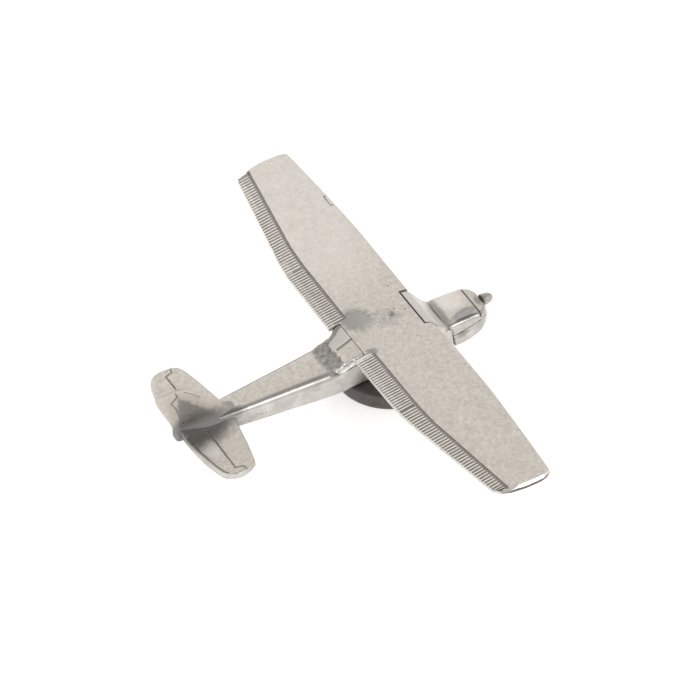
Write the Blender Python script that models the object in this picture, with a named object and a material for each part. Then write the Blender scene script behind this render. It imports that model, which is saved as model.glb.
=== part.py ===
"""Desk model of a high-wing propeller plane, cast in pewter and standing on a round magnet.

Axes: +X to the nose, +Y to the left wing tip, +Z up.
Origin: centre of the magnet's flat bottom face.
"""
import math

import bmesh
import bpy
from mathutils import Matrix, Vector

MM = 0.001

# Clearances
JOINT_GAP = 0.10 * MM
PIN_GAP = 0.12 * MM
SHAFT_GAP = 0.08 * MM

# Magnet and the glue that holds it
MAGNET_RADIUS = 10.0 * MM
MAGNET_THICKNESS = 3.0 * MM
MAGNET_CHAMFER = 0.3 * MM
GLUE_THICKNESS = 0.25 * MM
GLUE_HALF_WIDTH = 3.0 * MM
GLUE_HALF_LENGTH = 6.5 * MM

# Body casting: station x, half width, lowest z, highest z
BELLY_Z = MAGNET_THICKNESS + GLUE_THICKNESS + 2 * JOINT_GAP
CABIN_TOP_Z = 9.35 * MM
CABIN_HALF_WIDTH = 3.9 * MM
CABIN_FRONT_X = 9.3 * MM
TAIL_END_X = -41.3 * MM
BODY_STATIONS = (
    (CABIN_FRONT_X, 3.75 * MM, BELLY_Z, 7.8 * MM),
    (7.6 * MM, 3.85 * MM, BELLY_Z, 8.7 * MM),
    (5.2 * MM, CABIN_HALF_WIDTH, BELLY_Z, CABIN_TOP_Z),
    (-7.9 * MM, CABIN_HALF_WIDTH, BELLY_Z, CABIN_TOP_Z),
    (-11.0 * MM, 3.88 * MM, 3.2 * MM, 8.5 * MM),
    (-13.0 * MM, 3.78 * MM, 3.1 * MM, 8.3 * MM),
    (-19.0 * MM, 3.32 * MM, 3.3 * MM, 8.08 * MM),
    (-31.0 * MM, 2.35 * MM, 3.95 * MM, 7.75 * MM),
    (TAIL_END_X, 0.95 * MM, 4.9 * MM, 7.2 * MM),
)
BODY_SQUARENESS = 5.0
BODY_RING_POINTS = 32

# Engine cowling: station x, half width, lowest z, highest z
COWLING_STATIONS = (
    (CABIN_FRONT_X + JOINT_GAP, 3.75 * MM, BELLY_Z, 7.9 * MM),
    (10.3 * MM, 3.95 * MM, BELLY_Z, 8.18 * MM),
    (11.3 * MM, 3.95 * MM, 2.65 * MM, 8.2 * MM),
    (14.2 * MM, 3.88 * MM, 2.8 * MM, 8.1 * MM),
    (15.8 * MM, 3.75 * MM, 3.4 * MM, 8.0 * MM),
    (16.9 * MM, 3.45 * MM, 4.05 * MM, 7.9 * MM),
    (17.6 * MM, 2.9 * MM, 4.6 * MM, 7.75 * MM),
    (17.9 * MM, 2.3 * MM, 4.95 * MM, 7.6 * MM),
)
COWLING_SQUARENESS = 4.5

# Spinner and the shaft it is fixed to
SPIN_AXIS_Z = 6.85 * MM
SPINNER_PROFILE = (
    (0.00 * MM, 1.05 * MM),
    (0.60 * MM, 1.05 * MM),
    (1.20 * MM, 0.98 * MM),
    (1.70 * MM, 0.82 * MM),
    (2.05 * MM, 0.58 * MM),
    (2.25 * MM, 0.28 * MM),
)
SPINNER_LENGTH = 2.30 * MM
SPINNER_BASE_X = 18.05 * MM
SPINNER_BORE_DEPTH = 1.2 * MM
SHAFT_RADIUS = 0.4 * MM
SHAFT_LENGTH = 4.6 * MM
ROUND_SEGMENTS = 24

# Wing outline: distance from the centre line, then x of the edge there
LEADING_EDGE = (
    (0.0, 6.75 * MM),
    (21.0 * MM, 6.75 * MM),
    (40.5 * MM, 5.65 * MM),
    (43.3 * MM, 5.35 * MM),
    (44.0 * MM, 4.8 * MM),
    (44.3 * MM, 3.4 * MM),
)
TRAILING_EDGE = (
    (0.0, -9.4 * MM),
    (18.3 * MM, -9.4 * MM),
    (42.5 * MM, -5.35 * MM),
    (43.5 * MM, -4.7 * MM),
    (44.3 * MM, -3.0 * MM),
)
WING_THICKNESS = (
    (0.0, 1.6 * MM),
    (43.3 * MM, 1.3 * MM),
    (43.9 * MM, 1.1 * MM),
    (44.3 * MM, 0.5 * MM),
)
WING_CROWN_Z = 11.05 * MM
WING_DIHEDRAL_SLOPE = 0.016
# Share of the chord behind the leading edge, share of the thickness below the crown
WING_SECTION = (
    (0.000, 0.50),
    (0.012, 0.24),
    (0.050, 0.08),
    (0.180, 0.00),
    (0.500, 0.03),
    (0.780, 0.14),
    (1.000, 0.42),
    (1.000, 0.78),
    (0.780, 0.96),
    (0.500, 1.00),
    (0.080, 1.00),
    (0.015, 0.78),
)
WING_CUTOUT_X = -7.45 * MM
WING_CUTOUT_HALF_WIDTH = 4.3 * MM
NOTCH_X = 5.0 * MM
NOTCH_RIGHT_Y = -3.5 * MM
NOTCH_LEFT_Y = 5.2 * MM

# Windscreen and rear window, raised on the cabin: x, right y, left y, lowest z, highest z
WINDSCREEN_RINGS = (
    (NOTCH_X + JOINT_GAP, NOTCH_RIGHT_Y + JOINT_GAP, NOTCH_LEFT_Y - JOINT_GAP, 8.4 * MM, 10.9 * MM),
    (6.6 * MM, -3.4 * MM, 4.9 * MM, 7.8 * MM, 10.2 * MM),
    (9.2 * MM, -3.3 * MM, 3.3 * MM, 6.5 * MM, 7.85 * MM),
)
REAR_WINDOW_RINGS = (
    (WING_CUTOUT_X - JOINT_GAP, -3.7 * MM, 3.7 * MM, 8.0 * MM, 10.65 * MM),
    (-10.4 * MM, -3.4 * MM, 3.4 * MM, 7.6 * MM, 9.8 * MM),
    (-11.4 * MM, -3.2 * MM, 3.2 * MM, 7.4 * MM, 8.7 * MM),
)

# Tailplane, one outline for each half: x, distance from the centre line
TAILPLANE_OUTLINE = (
    (-31.55 * MM, 2.5 * MM),
    (-32.50 * MM, 7.9 * MM),
    (-33.35 * MM, 11.8 * MM),
    (-34.20 * MM, 13.2 * MM),
    (-36.50 * MM, 13.75 * MM),
    (-38.50 * MM, 13.35 * MM),
    (-39.80 * MM, 12.1 * MM),
    (-40.90 * MM, 8.3 * MM),
    (-41.30 * MM, 1.2 * MM),
)
TAILPLANE_LOW_Z = 5.2 * MM
TAILPLANE_HIGH_Z = 6.6 * MM
TAILPLANE_EDGE = 0.25 * MM

# Fin and rudder outline: x, z
FIN_OUTLINE = (
    (-30.2 * MM, 7.95 * MM),
    (-33.1 * MM, 9.6 * MM),
    (-38.9 * MM, 15.7 * MM),
    (-40.2 * MM, 16.5 * MM),
    (-45.5 * MM, 16.5 * MM),
    (-45.4 * MM, 15.3 * MM),
    (-44.7 * MM, 13.6 * MM),
    (-42.6 * MM, 8.9 * MM),
    (-42.1 * MM, 6.4 * MM),
    (-41.7 * MM, 4.9 * MM),
    (-41.42 * MM, 4.9 * MM),
    (-41.42 * MM, 7.35 * MM),
)
FIN_HALF_THICKNESS = 0.55 * MM
FIN_EDGE = 0.2 * MM

# Locating pins: radius, then both ends of each
STOUT_PIN_RADIUS = 0.5 * MM
FINE_PIN_RADIUS = 0.2 * MM
WING_PIN_X = {"wing_pin_front": 2.5 * MM, "wing_pin_rear": -4.0 * MM}
WING_PIN_Z = (6.6 * MM, 10.2 * MM)
COWLING_PIN_Y = {"cowling_pin_left": 2.2 * MM, "cowling_pin_right": -2.2 * MM}
COWLING_PIN_X = (7.2 * MM, 11.4 * MM)
COWLING_PIN_Z = 5.2 * MM
TAILPLANE_PIN_X = -35.6 * MM
TAILPLANE_PIN_Z = 0.5 * (TAILPLANE_LOW_Z + TAILPLANE_HIGH_Z)
TAILPLANE_PIN_HALF_LENGTH = 4.5 * MM
FIN_PIN_X = -38.2 * MM
FIN_PIN_Z = (6.2 * MM, 9.6 * MM)
HOLE_END_ROOM = 0.15 * MM

# Solder: rear bead rings as y, then its x and z reach, and the two corner beads
REAR_BEAD_RINGS = (
    (-3.3 * MM, 0.8 * MM, 0.25 * MM),
    (-1.8 * MM, 1.9 * MM, 0.65 * MM),
    (0.2 * MM, 1.6 * MM, 0.5 * MM),
    (2.0 * MM, 2.0 * MM, 0.6 * MM),
    (3.3 * MM, 0.9 * MM, 0.25 * MM),
)
REAR_BEAD_X = -11.5 * MM
REAR_BEAD_Z = 8.62 * MM
CORNER_BEAD_CENTRE = Vector((-9.6 * MM, 3.93 * MM, 9.45 * MM))
CORNER_BEAD_SIZE = Vector((2.4 * MM, 0.34 * MM, 0.42 * MM))

SMOOTH_ANGLE = math.radians(35)

PEWTER = (0.62, 0.59, 0.55)
SOLDER = (0.70, 0.69, 0.67)
STEEL = (0.55, 0.55, 0.56)
FERRITE = (0.075, 0.066, 0.062)
GLUE = (0.72, 0.68, 0.55)


def clear_scene():
    for item in list(bpy.data.objects):
        bpy.data.objects.remove(item, do_unlink=True)


def make_material(name, colour, roughness, metallic):
    material = bpy.data.materials.new(name)
    material.use_nodes = True
    shader = material.node_tree.nodes["Principled BSDF"]
    shader.inputs["Base Color"].default_value = (*colour, 1.0)
    shader.inputs["Roughness"].default_value = roughness
    shader.inputs["Metallic"].default_value = metallic
    return material


def add_object(name, bm, material):
    bmesh.ops.recalc_face_normals(bm, faces=bm.faces)
    mesh = bpy.data.meshes.new(name)
    bm.to_mesh(mesh)
    bm.free()
    mesh.shade_smooth()
    mesh.set_sharp_from_angle(angle=SMOOTH_ANGLE)
    if material is not None:
        mesh.materials.append(material)
    item = bpy.data.objects.new(name, mesh)
    bpy.context.collection.objects.link(item)
    return item


def add_boolean(target, cutter, operation="DIFFERENCE"):
    cutter.hide_render = True
    cutter.display_type = "WIRE"
    modifier = target.modifiers.new(cutter.name, "BOOLEAN")
    modifier.operation = operation
    modifier.solver = "EXACT"
    modifier.object = cutter


def add_bevel(target, width):
    modifier = target.modifiers.new("edges", "BEVEL")
    modifier.width = width
    modifier.segments = 2
    modifier.limit_method = "ANGLE"
    modifier.angle_limit = SMOOTH_ANGLE


def interpolate(outline, distance):
    """Value of a stepped outline at a distance, straight between its points."""
    for (start, low), (end, high) in zip(outline, outline[1:]):
        if distance <= end:
            share = (distance - start) / (end - start)
            return low + share * (high - low)
    return outline[-1][1]


def rounded_ring(x, half_width, low, high, squareness):
    """Superellipse across the X axis: a rounded rectangle of the given width and height."""
    points = []
    for index in range(BODY_RING_POINTS):
        angle = 2 * math.pi * (index + 0.5) / BODY_RING_POINTS
        across = math.copysign(abs(math.cos(angle)) ** (2 / squareness), math.cos(angle))
        up = math.copysign(abs(math.sin(angle)) ** (2 / squareness), math.sin(angle))
        points.append(Vector((x, half_width * across, 0.5 * (low + high) + 0.5 * (high - low) * up)))
    return points


def box_ring(x, right, left, low, high):
    return [Vector((x, right, low)), Vector((x, left, low)), Vector((x, left, high)), Vector((x, right, high))]


def loft(rings):
    """Closed solid through rings of equal point counts, with flat end faces."""
    bm = bmesh.new()
    loops = []
    for ring in rings:
        verts = [bm.verts.new(point) for point in ring]
        loops.append([bm.edges.new((verts[i - 1], verts[i])) for i in range(len(verts))])
    for near, far in zip(loops, loops[1:]):
        bmesh.ops.bridge_loops(bm, edges=near + far)
    bmesh.ops.contextual_create(bm, geom=loops[0])
    bmesh.ops.contextual_create(bm, geom=loops[-1])
    return bm


def prism(points, offset):
    """Flat outline extruded by an offset."""
    bm = bmesh.new()
    face = bm.faces.new([bm.verts.new(point) for point in points])
    extruded = bmesh.ops.extrude_face_region(bm, geom=[face])
    moved = [item for item in extruded["geom"] if isinstance(item, bmesh.types.BMVert)]
    bmesh.ops.translate(bm, verts=moved, vec=offset)
    return bm


def block(low, high):
    bm = bmesh.new()
    centre = 0.5 * (low + high)
    scale = Matrix.Diagonal((*(high - low), 1.0))
    bmesh.ops.create_cube(bm, size=1.0, matrix=Matrix.Translation(centre) @ scale)
    return bm


def rod(start, end, radius):
    """Round rod between two points."""
    bm = bmesh.new()
    along = end - start
    turn = along.to_track_quat("Z", "Y").to_matrix().to_4x4()
    bmesh.ops.create_cone(
        bm,
        cap_ends=True,
        segments=ROUND_SEGMENTS,
        radius1=radius,
        radius2=radius,
        depth=along.length,
        matrix=Matrix.Translation(0.5 * (start + end)) @ turn,
    )
    return bm


def add_hole(target, name, start, end, radius):
    add_boolean(target, add_object(name, rod(start, end, radius), None))


def wing_ring(y):
    distance = abs(y)
    front = interpolate(LEADING_EDGE, distance)
    chord = front - interpolate(TRAILING_EDGE, distance)
    thickness = interpolate(WING_THICKNESS, distance)
    full = interpolate(WING_THICKNESS, 0.0)
    sink = 0.35 * max(0.0, 0.8 * full - thickness)
    crown = WING_CROWN_Z + WING_DIHEDRAL_SLOPE * distance - sink
    return [Vector((front - back * chord, y, crown - down * thickness)) for back, down in WING_SECTION]


def build_wing(material):
    distances = sorted({d for line in (LEADING_EDGE, TRAILING_EDGE, WING_THICKNESS) for d, _ in line})
    stations = [-d for d in reversed(distances[1:])] + distances
    wing = add_object("wing", loft([wing_ring(y) for y in stations]), material)
    far = 20 * MM
    cutout = block(
        Vector((-far, -WING_CUTOUT_HALF_WIDTH, 0.0)),
        Vector((WING_CUTOUT_X, WING_CUTOUT_HALF_WIDTH, far)),
    )
    add_boolean(wing, add_object("wing_cutout_cutter", cutout, None))
    notch = block(Vector((NOTCH_X, NOTCH_RIGHT_Y, 0.0)), Vector((far, NOTCH_LEFT_Y, far)))
    add_boolean(wing, add_object("wing_notch_cutter", notch, None))
    return wing


def build_fuselage(material):
    body = [rounded_ring(*station, BODY_SQUARENESS) for station in BODY_STATIONS]
    fuselage = add_object("fuselage", loft(body), material)
    windscreen = loft([box_ring(*ring) for ring in WINDSCREEN_RINGS])
    add_boolean(fuselage, add_object("windscreen_form", windscreen, None), "UNION")
    rear_window = loft([box_ring(*ring) for ring in REAR_WINDOW_RINGS])
    add_boolean(fuselage, add_object("rear_window_form", rear_window, None), "UNION")
    return fuselage


def build_cowling(material):
    rings = [rounded_ring(*station, COWLING_SQUARENESS) for station in COWLING_STATIONS]
    return add_object("cowling", loft(rings), material)


def build_tailplane(name, side, material):
    points = [Vector((x, side * y, TAILPLANE_LOW_Z)) for x, y in TAILPLANE_OUTLINE]
    rise = Vector((0.0, 0.0, TAILPLANE_HIGH_Z - TAILPLANE_LOW_Z))
    half = add_object(name, prism(points, rise), material)
    add_bevel(half, TAILPLANE_EDGE)
    return half


def build_fin(material):
    points = [Vector((x, -FIN_HALF_THICKNESS, z)) for x, z in FIN_OUTLINE]
    fin = add_object("fin", prism(points, Vector((0.0, 2 * FIN_HALF_THICKNESS, 0.0))), material)
    add_bevel(fin, FIN_EDGE)
    return fin


def build_pin(name, start, end, radius, hosts, material):
    """Locating pin with a blind hole for it in each of its hosts."""
    add_object(name, rod(start, end, radius), material)
    room = HOLE_END_ROOM * (end - start).normalized()
    for host in hosts:
        add_hole(host, f"{name}_hole_in_{host.name}", start - room, end + room, radius + PIN_GAP)


def build_spinner(material):
    """Turned bullet on the shaft, with its origin on the spin axis."""
    bm = bmesh.new()
    outline = [Vector((x, 0.0, radius)) for x, radius in SPINNER_PROFILE]
    outline.append(Vector((SPINNER_LENGTH, 0.0, 0.0)))
    outline.insert(0, Vector((0.0, 0.0, 0.0)))
    verts = [bm.verts.new(point) for point in outline]
    edges = [bm.edges.new(pair) for pair in zip(verts, verts[1:])]
    bmesh.ops.spin(
        bm,
        geom=verts + edges,
        axis=(1.0, 0.0, 0.0),
        cent=(0.0, 0.0, 0.0),
        angle=2 * math.pi,
        steps=ROUND_SEGMENTS,
        use_merge=True,
    )
    bmesh.ops.remove_doubles(bm, verts=bm.verts, dist=0.001 * MM)
    spinner = add_object("spinner", bm, material)
    spinner.location = (SPINNER_BASE_X, 0.0, SPIN_AXIS_Z)
    start = Vector((SPINNER_BASE_X - HOLE_END_ROOM, 0.0, SPIN_AXIS_Z))
    end = Vector((SPINNER_BASE_X + SPINNER_BORE_DEPTH, 0.0, SPIN_AXIS_Z))
    add_hole(spinner, "spinner_bore_cutter", start, end, SHAFT_RADIUS + SHAFT_GAP)
    return spinner


def build_shaft(cowling, material):
    tip_x = SPINNER_BASE_X + SPINNER_BORE_DEPTH - HOLE_END_ROOM
    end = Vector((tip_x, 0.0, SPIN_AXIS_Z))
    start = Vector((tip_x - SHAFT_LENGTH, 0.0, SPIN_AXIS_Z))
    shaft = add_object("spinner_shaft", rod(start - end, Vector((0.0, 0.0, 0.0)), SHAFT_RADIUS), material)
    shaft.location = end
    room = Vector((HOLE_END_ROOM, 0.0, 0.0))
    add_hole(cowling, "cowling_bore_cutter", start - room, end + room, SHAFT_RADIUS + SHAFT_GAP)
    return shaft


def build_rear_bead(material):
    rings = []
    for y, reach, height in REAR_BEAD_RINGS:
        low = REAR_BEAD_Z
        rings.append([
            Vector((REAR_BEAD_X, y, low)),
            Vector((REAR_BEAD_X, y, low + height)),
            Vector((REAR_BEAD_X - 0.45 * reach, y, low + 0.7 * height)),
            Vector((REAR_BEAD_X - reach, y, low + 0.15 * height)),
            Vector((REAR_BEAD_X - reach, y, low)),
        ])
    return add_object("solder_fillet_rear", loft(rings), material)


def build_corner_bead(name, side, material):
    bm = bmesh.new()
    centre = Vector((CORNER_BEAD_CENTRE.x, side * CORNER_BEAD_CENTRE.y, CORNER_BEAD_CENTRE.z))
    scale = Matrix.Diagonal((*(0.5 * CORNER_BEAD_SIZE), 1.0))
    bmesh.ops.create_icosphere(bm, subdivisions=2, radius=1.0, matrix=Matrix.Translation(centre) @ scale)
    return add_object(name, bm, material)


def build_magnet(material):
    bottom = Vector((0.0, 0.0, 0.0))
    magnet = add_object("magnet", rod(bottom, Vector((0.0, 0.0, MAGNET_THICKNESS)), MAGNET_RADIUS), material)
    add_bevel(magnet, MAGNET_CHAMFER)
    return magnet


def build_glue_pad(material):
    low = MAGNET_THICKNESS + JOINT_GAP
    pad = block(
        Vector((-GLUE_HALF_LENGTH, -GLUE_HALF_WIDTH, low)),
        Vector((GLUE_HALF_LENGTH, GLUE_HALF_WIDTH, low + GLUE_THICKNESS)),
    )
    return add_object("glue_pad", pad, material)


def build_plane():
    pewter = make_material("pewter", PEWTER, 0.42, 1.0)
    solder = make_material("solder", SOLDER, 0.28, 1.0)
    steel = make_material("steel", STEEL, 0.35, 1.0)
    ferrite = make_material("ferrite", FERRITE, 0.5, 0.0)
    glue = make_material("glue", GLUE, 0.4, 0.0)

    fuselage = build_fuselage(pewter)
    wing = build_wing(pewter)
    cowling = build_cowling(pewter)
    left_half = build_tailplane("tailplane_left", 1.0, pewter)
    right_half = build_tailplane("tailplane_right", -1.0, pewter)
    fin = build_fin(pewter)
    build_spinner(pewter)
    build_shaft(cowling, steel)
    for name, x in WING_PIN_X.items():
        ends = [Vector((x, 0.0, z)) for z in WING_PIN_Z]
        build_pin(name, *ends, STOUT_PIN_RADIUS, (fuselage, wing), steel)
    for name, y in COWLING_PIN_Y.items():
        ends = [Vector((x, y, COWLING_PIN_Z)) for x in COWLING_PIN_X]
        build_pin(name, *ends, STOUT_PIN_RADIUS, (fuselage, cowling), steel)
    reach = TAILPLANE_PIN_HALF_LENGTH
    ends = [Vector((TAILPLANE_PIN_X, y, TAILPLANE_PIN_Z)) for y in (-reach, reach)]
    build_pin("tailplane_pin", *ends, FINE_PIN_RADIUS, (fuselage, left_half, right_half), steel)
    ends = [Vector((FIN_PIN_X, 0.0, z)) for z in FIN_PIN_Z]
    build_pin("fin_pin", *ends, FINE_PIN_RADIUS, (fuselage, fin), steel)
    build_rear_bead(solder)
    build_corner_bead("solder_fillet_left", 1.0, solder)
    build_corner_bead("solder_fillet_right", -1.0, solder)
    build_magnet(ferrite)
    build_glue_pad(glue)


clear_scene()
build_plane()
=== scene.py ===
import math
import random

import bmesh
import bpy
from mathutils import Matrix, Vector, noise


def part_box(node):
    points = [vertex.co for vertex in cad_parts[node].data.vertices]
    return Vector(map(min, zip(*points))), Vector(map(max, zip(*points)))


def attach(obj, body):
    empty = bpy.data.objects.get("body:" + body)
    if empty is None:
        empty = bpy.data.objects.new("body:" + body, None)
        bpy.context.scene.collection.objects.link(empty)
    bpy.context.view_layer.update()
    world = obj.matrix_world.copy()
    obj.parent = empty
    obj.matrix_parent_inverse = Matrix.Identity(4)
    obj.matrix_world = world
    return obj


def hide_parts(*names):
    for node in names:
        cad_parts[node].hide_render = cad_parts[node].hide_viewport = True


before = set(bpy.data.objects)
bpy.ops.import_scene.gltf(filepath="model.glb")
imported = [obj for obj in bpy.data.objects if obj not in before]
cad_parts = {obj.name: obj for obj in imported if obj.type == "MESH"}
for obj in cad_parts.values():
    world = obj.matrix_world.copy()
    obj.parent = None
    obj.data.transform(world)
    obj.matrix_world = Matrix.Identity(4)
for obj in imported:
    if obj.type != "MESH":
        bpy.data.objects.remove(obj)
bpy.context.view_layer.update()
print("frame loaded:", len(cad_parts), "CAD nodes")

mm = 0.001  # pieces are shaped in millimetres and scaled to metres when they are finished


def boxMm(node):
    low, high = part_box(node)
    return low / mm, high / mm


def newGroup(name, inputs, outputs):
    # inputs come with their first values; every output is a plain number
    group = bpy.data.node_groups.new(name, "ShaderNodeTree")
    for label, value in inputs.items():
        kind = "NodeSocketVector" if isinstance(value, tuple) else "NodeSocketFloat"
        socket = group.interface.new_socket(name=label, in_out="INPUT", socket_type=kind)
        socket.default_value = value
    for label in outputs:
        group.interface.new_socket(name=label, in_out="OUTPUT", socket_type="NodeSocketFloat")
    return group, group.nodes.new("NodeGroupInput"), group.nodes.new("NodeGroupOutput")


def addNode(tree, kind, **settings):
    node = tree.nodes.new(kind)
    for key, value in settings.items():
        setattr(node, key, value)
    return node


def typeIn(node, **values):
    # an underscore stands for the space in a socket's label
    for label, value in values.items():
        node.inputs[label.replace("_", " ")].default_value = value
    return node


def setInput(tree, socket, value):
    # a number is typed into the socket, another node's output is linked to it
    if isinstance(value, (int, float)):
        socket.default_value = value
    elif isinstance(value, tuple):
        socket.default_value = (*value, 1.0)
    else:
        tree.links.new(value, socket)


def addMath(tree, operation, first, second):
    node = addNode(tree, "ShaderNodeMath", operation=operation)
    setInput(tree, node.inputs[0], first)
    setInput(tree, node.inputs[1], second)
    return node.outputs[0]


def times(tree, first, second):
    return addMath(tree, "MULTIPLY", first, second)


def addVector(tree, operation, first, second):
    node = addNode(tree, "ShaderNodeVectorMath", operation=operation)
    tree.links.new(first, node.inputs[0])
    tree.links.new(second, node.inputs[1])
    return node.outputs["Value" if operation == "DOT_PRODUCT" else "Vector"]


def addNoise(tree, vector, scale, detail, roughness, distortion=0.0):
    node = addNode(tree, "ShaderNodeTexNoise")
    labels = ("Vector", "Scale", "Detail", "Roughness", "Distortion")
    for label, value in zip(labels, (vector, scale, detail, roughness, distortion)):
        setInput(tree, node.inputs[label], value)
    return node.outputs["Fac"]


def addRange(tree, value, low, high, toLow=0.0, toHigh=1.0, smooth=False):
    node = addNode(tree, "ShaderNodeMapRange")
    node.interpolation_type = "SMOOTHSTEP" if smooth else "LINEAR"
    labels = ("Value", "From Min", "From Max", "To Min", "To Max")
    for label, number in zip(labels, (value, low, high, toLow, toHigh)):
        setInput(tree, node.inputs[label], number)
    return node.outputs["Result"]


def addMix(tree, factor, first, second):
    node = addNode(tree, "ShaderNodeMix", data_type="RGBA")
    # sockets 0, 6 and 7 are the factor and the two colours
    for slot, value in ((0, factor), (6, first), (7, second)):
        setInput(tree, node.inputs[slot], value)
    return node.outputs[2]


def buildSandGrain():
    # fine sand-cast skin: speckle for colour, height for bump, both in object space
    inputs = {"Grain Size": 3000.0, "Cloud Size": 260.0}
    tree, start, end = newGroup("sandGrain", inputs, ("Height", "Speckle", "Cloud"))
    place = addNode(tree, "ShaderNodeTexCoord").outputs["Object"]
    fine = addNoise(tree, place, start.outputs["Grain Size"], 4.0, 0.62)
    coarse = addNoise(tree, place, times(tree, start.outputs["Grain Size"], 0.42), 3.0, 0.55)
    cloud = addNoise(tree, place, start.outputs["Cloud Size"], 4.0, 0.6, 0.6)
    tree.links.new(addMath(tree, "ADD", fine, times(tree, coarse, 0.9)), end.inputs["Height"])
    blend = times(tree, addMath(tree, "ADD", fine, coarse), 0.5)
    tree.links.new(addRange(tree, blend, 0.38, 0.62), end.inputs["Speckle"])
    tree.links.new(addRange(tree, cloud, 0.33, 0.67), end.inputs["Cloud"])
    return tree


def buildPatch():
    # soft-edged, ragged ellipsoid mask round one place on a piece
    inputs = {"Centre": (0, 0, 0), "Reach": (0.003, 0.003, 0.003), "Turn": 0.0}
    inputs.update({"Soft": 0.55, "Ragged": 0.4, "Tear Size": 900.0})
    tree, start, end = newGroup("patch", inputs, ("Mask",))
    place = addNode(tree, "ShaderNodeTexCoord").outputs["Object"]
    turn = addNode(tree, "ShaderNodeVectorRotate", rotation_type="Z_AXIS")
    tree.links.new(addVector(tree, "SUBTRACT", place, start.outputs["Centre"]), turn.inputs["Vector"])
    tree.links.new(start.outputs["Turn"], turn.inputs["Angle"])
    length = addNode(tree, "ShaderNodeVectorMath", operation="LENGTH")
    tree.links.new(addVector(tree, "DIVIDE", turn.outputs[0], start.outputs["Reach"]), length.inputs[0])
    tear = addNoise(tree, place, start.outputs["Tear Size"], 5.0, 0.6)
    wobble = times(tree, addMath(tree, "SUBTRACT", tear, 0.5), start.outputs["Ragged"])
    distance = addMath(tree, "ADD", length.outputs["Value"], times(tree, wobble, 4.0))
    inner = addMath(tree, "SUBTRACT", 1.0, start.outputs["Soft"])
    tree.links.new(addRange(tree, distance, inner, 1.0, 1.0, 0.0, True), end.inputs["Mask"])
    return tree


def buildWedge():
    # the side of two soft, ragged planes that their normals point to
    inputs = {"First Point": (0, 0, 0), "First Normal": (1, 0, 0)}
    inputs.update({"Second Point": (0, 0, 0), "Second Normal": (0, 0, 1), "Soft": 0.0006})
    tree, start, end = newGroup("wedge", inputs, ("Mask",))
    place = addNode(tree, "ShaderNodeTexCoord").outputs["Object"]
    tear = addMath(tree, "SUBTRACT", addNoise(tree, place, 1100.0, 4.0, 0.6), 0.5)
    masks = []
    for label in ("First", "Second"):
        offset = addVector(tree, "SUBTRACT", place, start.outputs[label + " Point"])
        reach = addVector(tree, "DOT_PRODUCT", offset, start.outputs[label + " Normal"])
        distance = addMath(tree, "DIVIDE", reach, start.outputs["Soft"])
        distance = addMath(tree, "ADD", distance, times(tree, tear, 1.6))
        masks.append(addRange(tree, distance, -0.5, 0.5, 0.0, 1.0, True))
    tree.links.new(times(tree, *masks), end.inputs["Mask"])
    return tree


def buildTarnish():
    # dark film that stays in hollows and close joints, and bright metal on rubbed edges
    tree, start, end = newGroup("tarnish", {"Reach": 0.0004, "Edge": 0.00012}, ("Hollow", "Rub"))
    shade = addNode(tree, "ShaderNodeAmbientOcclusion", samples=8, only_local=False)
    tree.links.new(start.outputs["Reach"], shade.inputs["Distance"])
    tree.links.new(addRange(tree, shade.outputs["AO"], 0.35, 0.95, 1.0, 0.0), end.inputs["Hollow"])
    rounded = addNode(tree, "ShaderNodeBevel", samples=4)
    tree.links.new(start.outputs["Edge"], rounded.inputs["Radius"])
    plain = addNode(tree, "ShaderNodeNewGeometry")
    match = addVector(tree, "DOT_PRODUCT", rounded.outputs[0], plain.outputs["Normal"])
    edge = addRange(tree, match, 0.80, 0.985, 1.0, 0.0)
    rub = times(tree, edge, addRange(tree, shade.outputs["AO"], 0.7, 0.98))
    tree.links.new(rub, end.inputs["Rub"])
    return tree


groups = {
    "sandGrain": buildSandGrain(),
    "patch": buildPatch(),
    "wedge": buildWedge(),
    "tarnish": buildTarnish(),
}


def useGroup(tree, name, **values):
    return typeIn(addNode(tree, "ShaderNodeGroup", node_tree=groups[name]), **values)


def addBump(tree, shader, height, depth):
    bump = typeIn(addNode(tree, "ShaderNodeBump"), Strength=1.0, Distance=depth)
    tree.links.new(height, bump.inputs["Height"])
    tree.links.new(bump.outputs["Normal"], shader.inputs["Normal"])


pewterLook = {
    "skin": (0.845, 0.79, 0.72),
    "skinDark": (0.56, 0.52, 0.47),
    "film": (0.22, 0.20, 0.18),
    "rough": 0.56,
    "smoothRough": 0.24,
    "grainDepth": 0.00008,
    "rubbed": (0.93, 0.905, 0.87),
    # two tones of painted shade for shoulders and sides, darker than the level tops
    "shoulder": ((0.68, 0.655, 0.62), (0.44, 0.42, 0.39)),
}


def startMaterial(name):
    material = bpy.data.materials.new(name)
    material.use_nodes = True
    return material, material.node_tree, material.node_tree.nodes["Principled BSDF"]


def stronger(tree, first, second):
    return second if first is None else addMath(tree, "MAXIMUM", first, second)


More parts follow.
